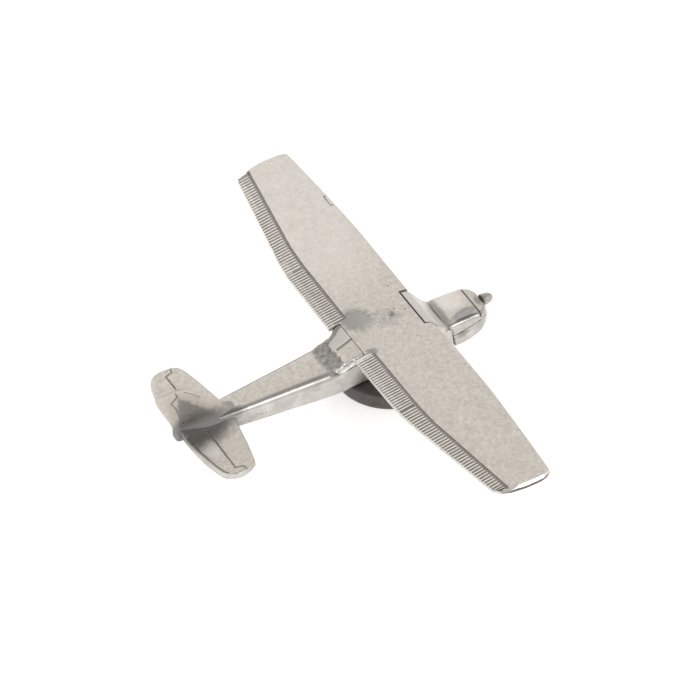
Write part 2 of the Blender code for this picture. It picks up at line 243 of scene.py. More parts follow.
def buildPewter(name, patches=(), grain=1.0, flatOnly=False, smoothness=0.0, look=pewterLook, wedges=()):
    material, tree, shader = startMaterial(name)
    typeIn(shader, Metallic=1.0)
    sand = useGroup(tree, "sandGrain")
    dull = useGroup(tree, "tarnish")
    base = addMix(tree, times(tree, sand.outputs["Cloud"], 0.15), look["skin"], look["skinDark"])
    speckle = times(tree, addMath(tree, "SUBTRACT", 1.0, sand.outputs["Speckle"]), 0.55 * grain)
    base = addMix(tree, speckle, base, look["skinDark"])
    polish = None
    if flatOnly:
        # flat, level faces keep the cast skin; turned-down shoulders and sides are burnished, and their
        # colour is a painted shade, darker than the level tops
        plain = addNode(tree, "ShaderNodeNewGeometry")
        parts = addNode(tree, "ShaderNodeSeparateXYZ")
        tree.links.new(plain.outputs["Normal"], parts.inputs[0])
        slope = addRange(tree, parts.outputs["Z"], 0.93, 0.992, 0.85, 0.0, True)
        paintedSlopeShade = addMix(tree, sand.outputs["Cloud"], *look["shoulder"])
        base = addMix(tree, slope, base, paintedSlopeShade)
        polish = times(tree, slope, addRange(tree, parts.outputs["Z"], 0.1, 0.45, 0.35, 1.0))
    # each wedge lays a darker tone over the side of two planes; on the fin it is a painted dark reflection
    for first, firstNormal, second, secondNormal, soft, tone in wedges:
        mask = useGroup(
            tree,
            "wedge",
            First_Point=[c * mm for c in first],
            First_Normal=firstNormal,
            Second_Point=[c * mm for c in second],
            Second_Normal=secondNormal,
            Soft=soft * mm,
        ).outputs["Mask"]
        mask = times(tree, mask, addRange(tree, sand.outputs["Speckle"], 0.0, 1.0, 1.0, 0.86))
        base = addMix(tree, mask, base, (tone, tone * 0.97, tone * 0.93))
    # each patch: centre, reach, turn, ragged edge, strength, tone, share of burnishing; most patches are
    # painted shade and painted reflections, named where each piece lists them
    for centre, reach, turn, ragged, strength, tone, shine in patches:
        mask = useGroup(
            tree,
            "patch",
            Centre=[c * mm for c in centre],
            Reach=[r * mm for r in reach],
            Turn=math.radians(turn),
            Ragged=ragged,
        ).outputs["Mask"]
        mask = times(tree, mask, strength)
        base = addMix(tree, mask, base, (tone, tone * 0.96, tone * 0.90))
        polish = stronger(tree, polish, times(tree, mask, shine))
    if smoothness > 0.0:
        polish = stronger(tree, polish, smoothness)
    rough = addRange(tree, sand.outputs["Speckle"], 0.0, 1.0, look["rough"] + 0.06, look["rough"] - 0.05)
    depth = 1.0
    if polish is not None:
        keep = addMath(tree, "SUBTRACT", 1.0, polish)
        rough = addRange(tree, keep, 0.0, 1.0, look["smoothRough"], rough)
        depth = addRange(tree, keep, 0.0, 1.0, 0.02, 1.0)
    base = addMix(tree, times(tree, dull.outputs["Hollow"], 0.85), base, look["film"])
    base = addMix(tree, times(tree, dull.outputs["Rub"], 0.6), base, look["rubbed"])
    tree.links.new(base, shader.inputs["Base Color"])
    tree.links.new(rough, shader.inputs["Roughness"])
    addBump(tree, shader, times(tree, sand.outputs["Height"], depth), look["grainDepth"] * grain)
    return material


def buildGroove(name, colour=(0.34, 0.31, 0.285)):
    # the film left in engraved lines and pits
    material, tree, shader = startMaterial(name)
    typeIn(shader, Metallic=0.75, Roughness=0.6)
    sand = useGroup(tree, "sandGrain")
    lighter = tuple(min(1.0, c * 1.7) for c in colour)
    base = addMix(tree, times(tree, sand.outputs["Speckle"], 0.5), colour, lighter)
    tree.links.new(base, shader.inputs["Base Color"])
    return material


print("shader groups ready")


def stepValue(outline, place):
    for (start, low), (end, high) in zip(outline, outline[1:]):
        if place <= end:
            return low + (high - low) * max(0.0, place - start) / (end - start)
    return outline[-1][1]


def closeSkin(bm):
    bmesh.ops.remove_doubles(bm, verts=bm.verts, dist=0.0005)
    rims = [edge for edge in bm.edges if edge.is_boundary]
    bmesh.ops.holes_fill(bm, edges=rims, sides=0)
    bmesh.ops.recalc_face_normals(bm, faces=bm.faces)
    return bm


def rollSkin(rows, columns, place):
    # a flat grid rolled into a closed skin: columns run round the section, rows run along the piece
    bm = bmesh.new()
    bmesh.ops.create_grid(bm, x_segments=columns, y_segments=rows - 1, size=0.5)
    for vert in bm.verts:
        column = round((vert.co.x + 0.5) * columns) % columns
        row = round((vert.co.y + 0.5) * (rows - 1))
        vert.co = place(row, column)
    return closeSkin(bm)


def rollRings(rings):
    # the same skin through sections that are already laid out
    return rollSkin(len(rings), len(rings[0]), lambda row, column: rings[row][column])


def turnProfile(profile, axis, centre, steps):
    bm = bmesh.new()
    verts = [bm.verts.new(point) for point in profile]
    edges = [bm.edges.new(pair) for pair in zip(verts, verts[1:])]
    bmesh.ops.spin(
        bm, geom=verts + edges, axis=axis, cent=centre, angle=2 * math.pi, steps=steps, use_merge=True
    )
    return closeSkin(bm)


def pushFaces(bm, faces, depth):
    pushed = bmesh.ops.extrude_face_region(bm, geom=faces)
    verts = [part for part in pushed["geom"] if isinstance(part, bmesh.types.BMVert)]
    bmesh.ops.translate(bm, verts=verts, vec=depth)
    bmesh.ops.recalc_face_normals(bm, faces=bm.faces)
    return bm


def ribbon(path, width, depth, closed=False):
    # a mitred strip along a path, pushed to a depth: the shape of one engraved line
    bm = bmesh.new()
    points = [Vector(point) for point in path]
    normal = Vector(depth).normalized()
    count = len(points)
    left, right = [], []
    for index, point in enumerate(points):
        before = points[index - 1] if index or closed else None
        after = points[(index + 1) % count] if index < count - 1 or closed else None
        aims = [(point - before).normalized()] if before is not None else []
        aims += [(after - point).normalized()] if after is not None else []
        across = sum((normal.cross(aim) for aim in aims), Vector()).normalized()
        stretch = 1.0 / max(0.5, across.dot(normal.cross(aims[0])))
        left.append(bm.verts.new(point + across * 0.5 * width * stretch))
        right.append(bm.verts.new(point - across * 0.5 * width * stretch))
    last = count if closed else count - 1
    for index in range(last):
        nextOne = (index + 1) % count
        bm.faces.new((left[index], right[index], right[nextOne], left[nextOne]))
    return pushFaces(bm, list(bm.faces), depth)


def blockMesh(low, high):
    bm = bmesh.new()
    low, high = Vector(low), Vector(high)
    scale = Matrix.Diagonal((*(high - low), 1.0))
    bmesh.ops.create_cube(bm, size=1.0, matrix=Matrix.Translation(0.5 * (low + high)) @ scale)
    return bm


def pitMesh(places, seed):
    # small ragged hollows: (x, y, z, radius) each
    bm = bmesh.new()
    draw = random.Random(seed)
    for x, y, z, radius in places:
        turn = Matrix.Rotation(draw.uniform(0, math.pi), 4, "Z")
        size = Matrix.Diagonal((radius * draw.uniform(0.8, 1.5), radius, radius * 0.8, 1.0))
        made = bmesh.ops.create_icosphere(
            bm, subdivisions=1, radius=1.0, matrix=Matrix.Translation((x, y, z)) @ turn @ size
        )
        for vert in made["verts"]:
            vert.co += 0.15 * radius * Vector((draw.uniform(-1, 1), draw.uniform(-1, 1), draw.uniform(-1, 1)))
    return bm


def placeMesh(name, bm, materials):
    mesh = bpy.data.meshes.new(name)
    bm.to_mesh(mesh)
    bm.free()
    for material in materials:
        mesh.materials.append(material)
    piece = bpy.data.objects.new(name, mesh)
    bpy.context.scene.collection.objects.link(piece)
    return piece


def cutPiece(piece, bm, material, operation="DIFFERENCE", selfCrossing=False):
    cutter = placeMesh(piece.name + "Cutter", bm, [material])
    change = piece.modifiers.new("cut", "BOOLEAN")
    change.solver = "EXACT"
    change.operation = operation
    change.use_self = selfCrossing
    change.object = cutter
    change.material_mode = "TRANSFER"
    bakeModifiers(piece)
    bpy.data.objects.remove(cutter, do_unlink=True)


def bakeModifiers(piece):
    graph = bpy.context.evaluated_depsgraph_get()
    shaped = piece.evaluated_get(graph)
    mesh = bpy.data.meshes.new_from_object(shaped, preserve_all_data_layers=True, depsgraph=graph)
    piece.modifiers.clear()
    piece.data = mesh


def finishPiece(piece, body, slot, *cadNodes, angle=38):
    mesh = piece.data
    mesh.transform(Matrix.Scale(mm, 4))
    mesh.shade_smooth()
    mesh.set_sharp_from_angle(angle=math.radians(angle))
    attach(piece, body)
    if cadNodes:
        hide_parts(*cadNodes)
    print(piece.name, len(mesh.polygons), "faces")
    return piece


# the film colour for engraved lines and joints, also used as painted shade on the tail cone's port shoulder
filmAndShadeMetal = buildGroove("filmInLinesAndShade")
filmDeep = buildGroove("filmInPits", (0.17, 0.155, 0.145))


def engrave(piece, path, width, depth, material=filmAndShadeMetal, closed=False):
    cutPiece(piece, ribbon(path, width, depth, closed), material)


wing = {
    # outlines are (distance from the centre line, x); trailing edge and tip are 1 to port, -1 to starboard
    "leading": (
        (0.0, 6.75), (21.0, 6.75), (25.0, 6.6), (30.0, 6.32), (35.0, 6.02), (40.0, 5.66), (44.3, 5.3)
    ),
    "trailing": {
        1: ((0.0, -9.4), (18.3, -9.4), (22.0, -9.0), (42.5, -5.35), (44.3, -5.1)),
        -1: (
            (0.0, -9.4), (16.0, -9.35), (20.0, -9.1), (24.0, -8.45), (42.0, -5.2), (43.0, -4.75), (44.3, -4.1)
        ),
    },
    "groove": ((0.0, -6.05), (18.6, -6.05), (20.4, -6.0), (24.0, -5.75), (43.4, -2.9), (44.3, -2.8)),
    # the rounded tip is (x, distance)
    "tip": {
        1: (
            (-5.4, 42.85), (-2.8, 43.5), (-2.1, 43.85), (0.1, 44.24), (2.2, 44.3), (4.0, 44.22), (4.8, 44.0),
            (5.3, 43.6),
        ),
        -1: (
            (-5.2, 42.7), (-4.2, 43.4), (-3.2, 43.85), (0.0, 44.25), (2.0, 44.3), (3.7, 44.2), (4.6, 43.85),
            (5.2, 43.4),
        ),
    },
    "tipStart": 42.3,
    "halfSpan": 44.3,
    "crown": 11.05,
    "rise": 0.016,
    "thick": ((0.0, 1.6), (40.0, 1.42), (44.3, 1.3)),
    "noseTurn": 1.5,
    "grooveLip": 0.31,
    "noseFloor": 0.9,
    "tailFloor": 1.7,
    "drops": {"band": 0.02, "edge": 0.08, "rim": 0.2, "under": 0.5},
    "ribFrom": 4.72,
    "split": (18.45, 18.8),
    "ribTo": 43.0,
    "ribsInner": 24,
    "ribsOuter": 39,
    "ribHigh": 0.02,
    "ribLow": -0.16,
    "lamp": ((6.6, 31.5), (5.33, 31.3), (5.35, 28.9), (6.6, 28.65)),
    "cutoutX": -7.3,
    "cutoutHalf": 4.3,
    "notch": (
        (4.9, -3.3), (4.9, 5.42), (9.0, 5.42), (9.0, -6.2), (6.74, -5.9), (6.5, -4.85), (6.22, -4.02),
        (5.96, -3.5),
    ),
    # casting pits: x, y, radius
    "pits": (
        (4.07, 7.44, 0.17), (2.32, 2.3, 0.14), (3.82, 1.41, 0.15), (1.5, 1.55, 0.2), (1.0, 1.2, 0.22),
        (0.55, 0.64, 0.14), (-1.62, -0.53, 0.11), (0.41, -0.62, 0.14), (0.81, -1.08, 0.13),
        (5.48, -9.67, 0.15), (5.04, -9.5, 0.11), (5.64, -12.62, 0.14), (-2.58, -16.39, 0.16),
        (5.11, -24.46, 0.12), (-4.71, 14.88, 0.14), (1.14, 6.97, 0.1), (1.04, 2.96, 0.12),
        (-1.4, 0.84, 0.12), (-1.5, 2.0, 0.1), (0.1, 1.9, 0.1), (-0.4, 1.2, 0.12), (1.9, 1.1, 0.13),
        (-0.7, 0.1, 0.11), (-1.0, 2.7, 0.11), (2.4, 0.6, 0.09), (-2.2, 0.2, 0.1), (0.2, 0.0, 0.1),
        (-2.3, 1.0, 0.09),
    ),
}


def wingRows():
    # distance from the centre line, and what the strip does there: 1 on a rib, 0 between ribs
    rows = [(0.0, 1.0), (1.5, 1.0), (3.0, 1.0), (4.2, 1.0), (4.55, 1.0)]
    inner, outer = wing["split"]
    runs = ((wing["ribFrom"], inner, wing["ribsInner"]), (outer, wing["ribTo"], wing["ribsOuter"]))
    for first, last, count in runs:
        pitch = (last - first) / count
        for index in range(count):
            near = first + index * pitch
            rows += [(near, 0.0), (near + 0.36 * pitch, 0.0)]
            rows += [(near + 0.52 * pitch, 1.0), (near + 0.84 * pitch, 1.0)]
        if first == wing["ribFrom"]:
            rows += [(last + 0.02, -0.6), (last + 0.3, -0.6)]
    rows += [(wing["ribTo"] + 0.02, -0.3), (wing["ribTo"] + 0.3, -0.3), (wing["ribTo"] + 0.36, 1.0)]
    rows += [(43.6, 1.0), (43.82, 1.0), (43.9, 1.0), (44.1, 1.0), (44.3, 1.0)]
    return rows


def wingColumns():
    # (line, offset behind it, what the drop below the crown is: a share of the thickness or a name)
    turn = ((0.00, 0.50), (0.03, 0.36), (0.12, 0.23), (0.28, 0.14), (0.55, 0.08), (0.95, 0.04))
    front = [("leading", offset, drop) for offset, drop in (*turn, (wing["noseTurn"], 0.015))]
    panel = [("panel", share / 14.0, None) for share in range(1, 14)]
    groove = [("groove", -wing["grooveLip"], None), ("groove", -0.25, "groove"), ("groove", 0.21, "groove")]
    strip = [("groove", 0.27, "rib"), ("strip", 0.35, "rib"), ("strip", 0.65, "rib")]
    band = [("trailing", offset, drop) for offset, drop in ((-0.18, "rib"), (-0.14, "band"), (-0.05, "band"))]
    band += [("trailing", -0.01, "edge")]
    rim = [("trailing", 0.0, "rim"), ("trailing", 0.0, "under"), ("trailing", -wing["tailFloor"], "floor")]
    floor = [("floor", share / 6.0, "floor") for share in range(1, 6)]
    nose = [("leading", wing["noseFloor"], 0.96), ("leading", 0.4, 0.86), ("leading", 0.1, 0.70)]
    return front + panel + groove + strip + band + rim + floor + nose


def wingTop(x, front, back, distance):
    # crowned upper face, falling to the trailing edge
    chord = front - back
    share = (front - x) / chord
    crown = wing["crown"] + wing["rise"] * distance
    fall = 0.62 * max(0.0, (share - 0.62) / 0.38) ** 1.5 + 0.05 * max(0.0, 0.3 - share) ** 2
    return crown - fall


def wingPoint(side, rib, distance, column):
    line, offset, drop = column
    front = stepValue(wing["leading"], distance)
    back = stepValue(wing["trailing"][side], distance)
    joint = stepValue(wing["groove"], distance)
    thick = stepValue(wing["thick"], distance)
    # each line: where it starts, and how far it reaches at an offset of 1
    lines = {
        "leading": (front, -1.0),
        "panel": (front - wing["noseTurn"], joint + wing["grooveLip"] - front + wing["noseTurn"]),
        "groove": (joint, -1.0),
        "strip": (joint - 0.1, back + 0.3 - joint + 0.1),
        "trailing": (back, -1.0),
        "floor": (back + wing["tailFloor"], front - wing["noseFloor"] - back - wing["tailFloor"]),
    }
    start, reach = lines[line]
    x = start + reach * offset
    top = wingTop(x, front, back, distance)
    crown = wing["crown"] + wing["rise"] * distance
    inRoot = distance < wing["ribFrom"] - 0.1
    pastRibs = distance > wing["ribTo"] + 0.32
    if drop is None or drop in ("groove", "rib") and (inRoot or pastRibs):
        z = top
    elif drop == "groove":
        z = top - 0.2
    elif drop == "rib":
        z = top + wing["ribLow"] + (wing["ribHigh"] - wing["ribLow"]) * rib
    elif drop == "floor":
        z = crown - thick
    elif drop in wing["drops"]:
        z = top - wing["drops"][drop]
    else:
        z = top - drop * thick
    tip = wing["tipStart"]
    y = distance
    if distance > tip:
        share = (distance - tip) / (wing["halfSpan"] - tip)
        y = tip + share * (stepValue(wing["tip"][side], x) - tip)
        middle = crown - 0.52 * thick
        z = middle + (z - middle) * stepValue(((0.0, 1.0), (0.8, 1.0), (1.0, 0.5)), share)
    return Vector((x, side * y, z))


wingSlots = ("skin", "line", "valley", "pit", "crest", "edge")


def markWingFaces(bm):
    # hollows between the ribs and the long line in front of them hold the film, rib tops are bright
    for face in bm.faces:
        centre = face.calc_center_median()
        distance = abs(centre.y)
        front = stepValue(wing["leading"], distance)
        joint = stepValue(wing["groove"], distance)
        back = stepValue(wing["trailing"][1 if centre.y > 0 else -1], distance)
        # on the tip, the bevel faces take the bright smooth finish and the side faces below them the dark
        # colour of the film between the ribs
        if distance > 43.5 and centre.x > -4.4:
            height = centre.z - wing["crown"] - wing["rise"] * distance
            if face.normal.z > 0.35 and abs(face.normal.y) > 0.4:
                face.material_index = wingSlots.index("edge")
            elif -0.9 < height < -0.3 and abs(face.normal.z) < 0.35:
                face.material_index = wingSlots.index("valley")
        if centre.z < 9.75 or distance < 4.6 or distance > 43.25:
            continue
        heights = [vert.co.z for vert in face.verts]
        level = max(heights) - min(heights) < 0.16
        sunk = min(heights) < wingTop(centre.x, front, back, distance) - 0.1
        if joint - 0.26 < centre.x < joint + 0.3 and face.normal.z > 0.2:
            face.material_index = wingSlots.index("line")
        elif back + 0.16 < centre.x < joint - 0.2 and sunk and level:
            if abs(face.normal.y) < 0.3:
                face.material_index = wingSlots.index("valley")
        elif back + 0.02 < centre.x < joint - 0.2 and face.normal.z > 0.6:
            face.material_index = wingSlots.index("crest")


def buildWing():
    columns = wingColumns()
    distances = wingRows()
    stations = [(-1.0, *row) for row in reversed(distances[1:])] + [(1.0, *row) for row in distances]

    def place(row, column):
        side, distance, rib = stations[row]
        return wingPoint(side, rib, distance, columns[column])

    bm = rollSkin(len(stations), len(columns), place)
    markWingFaces(bm)
    # the second is a smooth sink mark at the wing root whose darker colour is a painted reflection, and the
    # sixth is painted shade by the port flap's inboard end; the first lightens the port outer wing, the third
    # darkens the starboard flap's inboard end, and the fourth and fifth are a darker smudge round the pits
    patches = (
        ((-1.0, 32.0, 11.4), (14.0, 30.0, 6.0), 0, 0.04, 0.42, 1.0, 0.0),
        ((-4.6, 3.3, 11.1), (4.0, 3.3, 2.2), 20, 0.26, 0.95, 0.30, 0.8),
        ((-6.1, -4.3, 11.0), (1.3, 1.1, 2.0), 0, 0.3, 0.8, 0.30, 0.3),
        ((1.3, 1.4, 11.1), (0.95, 0.8, 0.8), 0, 0.3, 0.9, 0.26, 0.3),
        ((0.4, 1.2, 11.1), (3.0, 2.6, 1.0), 0, 0.55, 0.4, 0.5, 0.1),
        ((-5.6, 4.9, 10.9), (1.5, 1.0, 1.0), 0, 0.3, 0.6, 0.32, 0.5),
    )
    crestLook = dict(pewterLook, skin=(1.0, 0.955, 0.90), skinDark=(0.8, 0.76, 0.71), rough=0.5)
    finish = {
        "skin": buildPewter("wingPewter", patches),
        "line": filmAndShadeMetal,
        "valley": buildGroove("filmBetweenRibs", (0.33, 0.30, 0.27)),
        "pit": filmDeep,
        "crest": buildPewter("ribPewter", (), grain=0.6, look=crestLook),
        "edge": buildPewter("tipPewter", (), grain=0.6, smoothness=0.75, look=crestLook),
    }
    piece = placeMesh("wingCasting", bm, [finish[slot] for slot in wingSlots])
    half = wing["cutoutHalf"]
    cutPiece(piece, blockMesh((-20, -half, 5), (wing["cutoutX"], half, 20)), finish["skin"])
    cutPiece(piece, raiseOutline(wing["notch"], 5, 20), filmAndShadeMetal)
    lampZ = wing["crown"] + wing["rise"] * 30 - 0.16
    engrave(piece, [(x, y, lampZ) for x, y in wing["lamp"]], 0.2, (0, 0, 0.6))
    pits = [(x, y, wing["crown"] + wing["rise"] * abs(y) + 0.4 * size, size) for x, y, size in wing["pits"]]
    cutPiece(piece, pitMesh(pits, 4), filmDeep, selfCrossing=True)
    return finishPiece(piece, "airframe", "pewter", "wing")


def raiseOutline(outline, low, high):
    # a flat outline in x and y, raised between two heights
    bm = bmesh.new()
    face = bm.faces.new([bm.verts.new((x, y, low)) for x, y in outline])
    return pushFaces(bm, [face], (0, 0, high - low))


def roundedSection(x, halfWidth, low, high, topRound, lowRound, count):
    # rounded rectangle across the X axis, one corner radius for the top and one for the belly
    quarter = count // 4
    points = []
    corners = ((1, 1, topRound), (-1, 1, topRound), (-1, -1, lowRound), (1, -1, lowRound))
    for index, (across, up, radius) in enumerate(corners):
        radius = min(radius, halfWidth * 0.98, 0.49 * (high - low))
        for step in range(quarter):
            angle = 0.5 * math.pi * (index + step / (quarter - 1))
            y = across * (halfWidth - radius) + radius * math.cos(angle)
            z = (high - radius if up > 0 else low + radius) + radius * math.sin(angle)
            points.append(Vector((x, y, z)))
    return points


body = {
    # x, half width, lowest z, highest z, shoulder radius, belly radius
    "stations": (
        (9.35, 3.75, 3.45, 7.5, 0.9, 0.8),
        (8.6, 3.8, 3.45, 8.1, 0.9, 0.8),
        (7.6, 3.86, 3.45, 8.7, 0.8, 0.8),
        (6.4, 3.9, 3.45, 9.1, 0.7, 0.8),
        (5.2, 3.9, 3.45, 9.35, 0.6, 0.8),
        (1.0, 3.9, 3.45, 9.35, 0.6, 0.8),
        (-4.0, 3.9, 3.45, 9.35, 0.6, 0.8),
        (-7.9, 3.9, 3.45, 9.35, 0.7, 0.8),
        (-9.6, 3.9, 3.35, 8.95, 0.9, 0.8),
        (-11.0, 3.88, 3.15, 8.5, 1.2, 0.8),
        (-13.0, 3.78, 3.1, 8.3, 1.7, 0.8),
        (-16.0, 3.56, 3.18, 8.18, 1.8, 0.8),
        (-19.0, 3.32, 3.3, 8.08, 1.75, 0.8),
        (-25.0, 2.86, 3.6, 7.92, 1.55, 0.7),
        (-31.0, 2.35, 3.95, 7.75, 1.3, 0.6),
        (-36.0, 1.72, 4.4, 7.5, 0.9, 0.5),
        (-40.0, 1.15, 4.8, 7.28, 0.6, 0.4),
        (-41.6, 0.95, 4.9, 7.2, 0.5, 0.35),
        (-41.9, 0.8, 5.05, 7.1, 0.5, 0.35),
    ),
    "ring": 48,
    # width of the cast line, then x and z of its corners: door, side window, rear side window
    "cabinLines": (
        (0.18, ((4.6, 8.55), (-1.6, 8.55), (-1.6, 4.3), (3.2, 4.3), (4.6, 5.4))),
        (0.14, ((4.0, 8.2), (-1.1, 8.2), (-1.1, 6.55), (4.0, 6.55))),
        (0.14, ((-2.4, 8.2), (-6.9, 8.2), (-6.1, 6.75), (-2.4, 6.55))),
    ),
    "crack": ((-7.6, 9.0), (-8.4, 8.7), (-9.2, 8.62), (-10.0, 8.35), (-11.2, 8.2), (-12.0, 7.85)),
    "dimples": ((-27.5, 5.72), (-26.9, 5.55), (-26.4, 5.45), (-25.8, 5.4), (-25.0, 5.32)),
    # a shelf low in the joint round the windscreen
    "shelf": ((4.95, -3.25), (4.95, 5.37), (6.3, 5.3), (6.5, -4.6), (6.2, -3.9), (5.96, -3.4)),
}


def buildFuselage():
    stations = body["stations"]
    rings = [roundedSection(*station, body["ring"]) for station in stations]
    # the port shoulder of the tail cone is sharper than the starboard one
    for ring, (x, halfWidth, low, high, topRound, lowRound) in zip(rings, stations):
        if x < -12.0:
            sharp = roundedSection(x, halfWidth, low, high, 0.5 * topRound, lowRound, body["ring"])
            ring[: body["ring"] // 4] = sharp[: body["ring"] // 4]
    for point in rings[0]:
        point.x = jointX(point.z) - (0.04 if point.z > 7.6 else 0.22)
    bm = rollRings(rings)
    # the port shoulder faces of the tail cone take the dark film colour as a painted shade along that edge
    for face in bm.faces:
        if face.calc_center_median().x < -12.4 and face.normal.y > 0.25 and face.normal.z > 0.3:
            face.material_index = 1
    # darker patches: the first two are painted shade round the fin's foot, the fourth dims the starboard
    # shoulder where its highlight ends as painted shade, the fifth is a painted dark reflection at the joint
    # with the cowl; the third darkens the top just behind the rear solder
    patches = (
        ((-39.0, -0.6, 6.8), (8.4, 3.6, 3.8), 0, 0.1, 0.95, 0.22, 0.25),
        ((-38.0, -3.0, 5.6), (11.0, 3.2, 4.2), 0, 0.1, 0.95, 0.22, 0.2),
        ((-12.6, 0.4, 8.3), (1.4, 4.0, 1.5), 0, 0.3, 0.9, 0.3, 0.4),
        ((-32.0, -1.6, 7.6), (3.6, 1.5, 1.0), 12, 0.1, 0.9, 0.28, 0.4),
        ((9.2, 0.0, 7.7), (0.8, 4.5, 0.9), 0, 0.12, 0.9, 0.3, 0.6),
    )
    # the windscreen and the port rear window panel are toned darker, the third darkens the top behind the
    # rear solder, and the last is the painted dark reflection at the joint with the cowl
    glassPatches = (
        ((6.6, 0.4, 10.6), (2.8, 9.0, 6.0), 0, 0.1, 0.8, 0.74, 0.5),
        ((-9.0, 2.0, 10.0), (3.4, 2.2, 2.0), 0, 0.1, 0.8, 0.66, 0.5),
        ((-12.0, 0.4, 8.5), (1.9, 5.0, 1.7), 0, 0.3, 0.9, 0.32, 0.4),
        ((9.2, 0.0, 7.6), (0.9, 5.5, 1.2), 0, 0.1, 0.95, 0.22, 0.5),
    )
    skin = buildPewter("bodyPewter", patches, flatOnly=True)
    piece = placeMesh("fuselageCasting", bm, [skin, filmAndShadeMetal, filmDeep])
    glassSkin = buildPewter("glassPewter", glassPatches)
    cutPiece(piece, raiseOutline(body["shelf"], 9.0, 10.62), filmAndShadeMetal, "UNION")
    for pane in ("windscreen", "rearWindow"):
        cutPiece(piece, paneMesh(glass[pane], glass[pane + "Low"]), glassSkin, "UNION")
    # divider down the middle of the rear window
    engrave(piece, ((-7.2, 0.1, 10.78), (-10.4, 0.0, 9.66)), 0.4, (0.1, 0, 0.5))
    for side in (1.0, -1.0):
        for width, corners in body["cabinLines"]:
            path = [(x, side * 3.78, z) for x, z in corners]
            engrave(piece, path, width, (0, side * 0.5, 0), closed=True)
    for side in (1.0, -1.0):
        path = [(x, side * 3.72, z) for x, z in body["crack"]]
        engrave(piece, path, 0.3, (0, side * 0.6, 0), filmDeep)
    dimples = []
    for x, z in body["dimples"]:
        for side in (1.0, -1.0):
            # the tail cone tapers by 0.083 on each side
            dimples.append((x, side * (2.66 + (x + 27.5) * 0.083), z, 0.15))
    cutPiece(piece, pitMesh(dimples, 9), filmDeep, selfCrossing=True)
    return finishPiece(piece, "airframe", "pewter", "fuselage")


glass = {
    # x, right y, left y, top z, edge radius: the windscreen runs from the wing down to the cowl
    "windscreen": (
        (5.24, -2.98, 5.14, 11.04, 0.04),
        (5.6, -3.02, 5.14, 10.96, 0.06),
        (6.15, -3.28, 5.12, 10.82, 0.1),
        (6.45, -3.74, 5.1, 10.72, 0.16),
        (6.75, -4.5, 5.02, 10.56, 0.3),
        (7.3, -4.35, 4.78, 10.08, 0.6),
        (7.9, -4.0, 4.3, 9.38, 0.7),
        (8.5, -3.84, 3.98, 8.74, 0.66),
        (9.0, -3.76, 3.84, 8.34, 0.66),
        (9.42, -3.74, 3.8, 8.06, 0.66),
    ),
    "windscreenLow": 6.0,
    "rearWindow": (
        (-7.44, -3.85, 3.8, 10.78, 0.4),
        (-8.4, -3.72, 3.55, 10.45, 0.4),
        (-9.2, -3.6, 3.15, 10.16, 0.4),
        (-9.8, -3.48, 2.75, 9.95, 0.4),
        (-10.4, -3.35, 2.5, 9.72, 0.4),
        (-11.0, -3.25, 2.5, 9.1, 0.4),
        (-11.5, -3.15, 2.7, 8.5, 0.4),
    ),
    "rearWindowLow": 7.4,
}


def paneMesh(rows, low):
    rings = []
    for x, right, left, top, radius in rows:
        ring = roundedSection(x, 0.5 * (left - right), low, top, radius, 0.2, 32)
        for point in ring:
            point.y += 0.5 * (left + right)
        rings.append(ring)
    return rollRings(rings)


cowl = {
    # x, half width, lowest z, highest z, shoulder radius, belly radius
    "stations": (
        (9.46, 3.74, 3.5, 7.99, 0.75, 0.8),
        (9.62, 3.8, 3.35, 8.0, 0.8, 0.8),
        (9.95, 3.88, 3.2, 8.04, 0.85, 0.8),
        (10.4, 3.93, 2.9, 8.11, 0.95, 0.8),
        (10.8, 3.95, 2.72, 8.17, 1.05, 0.8),
        (11.3, 3.95, 2.62, 8.22, 1.05, 0.8),
        (12.6, 3.93, 2.64, 8.18, 1.05, 0.8),
        (13.8, 3.89, 2.75, 8.12, 1.05, 0.8),
        (15.0, 3.82, 3.1, 8.04, 1.05, 0.9),
        (15.5, 3.79, 3.28, 8.03, 1.05, 0.9),
        (15.62, 3.81, 3.32, 8.07, 1.05, 0.9),
        (15.72, 3.78, 3.36, 8.02, 1.05, 0.9),
        (15.78, 3.62, 3.5, 7.8, 1.05, 0.9),
        (15.99, 3.6, 3.56, 7.78, 1.05, 0.9),
        (16.06, 3.72, 3.5, 7.94, 1.05, 0.9),
        (16.4, 3.62, 3.72, 7.92, 1.1, 1.0),
        (16.9, 3.42, 4.05, 7.86, 1.2, 1.1),
        (17.3, 3.16, 4.35, 7.8, 1.3, 1.2),
        (17.6, 2.86, 4.62, 7.7, 1.4, 1.3),
        (17.8, 2.5, 4.9, 7.56, 1.3, 1.2),
        (17.9, 2.0, 5.2, 7.36, 1.0, 1.0),
    ),
    "ring": 48,
    "groove": (15.78, 15.99),
    "joined": 10.8,
    # the cast line along each side, x and z, and three small studs under it: x, z, radius
    "sideLine": ((10.4, 5.7), (11.6, 5.9), (13.0, 6.1), (14.7, 6.45), (16.0, 6.7), (17.0, 6.95)),
    "studs": ((12.0, 5.62, 0.24), (12.5, 5.6, 0.17), (11.5, 5.5, 0.15)),
}


def jointX(z):
    # the cowl reaches back over the top and starts further forward on the sides
    return stepValue(((3.0, 10.7), (7.0, 10.25), (7.45, 9.8), (7.8, 9.46)), z)


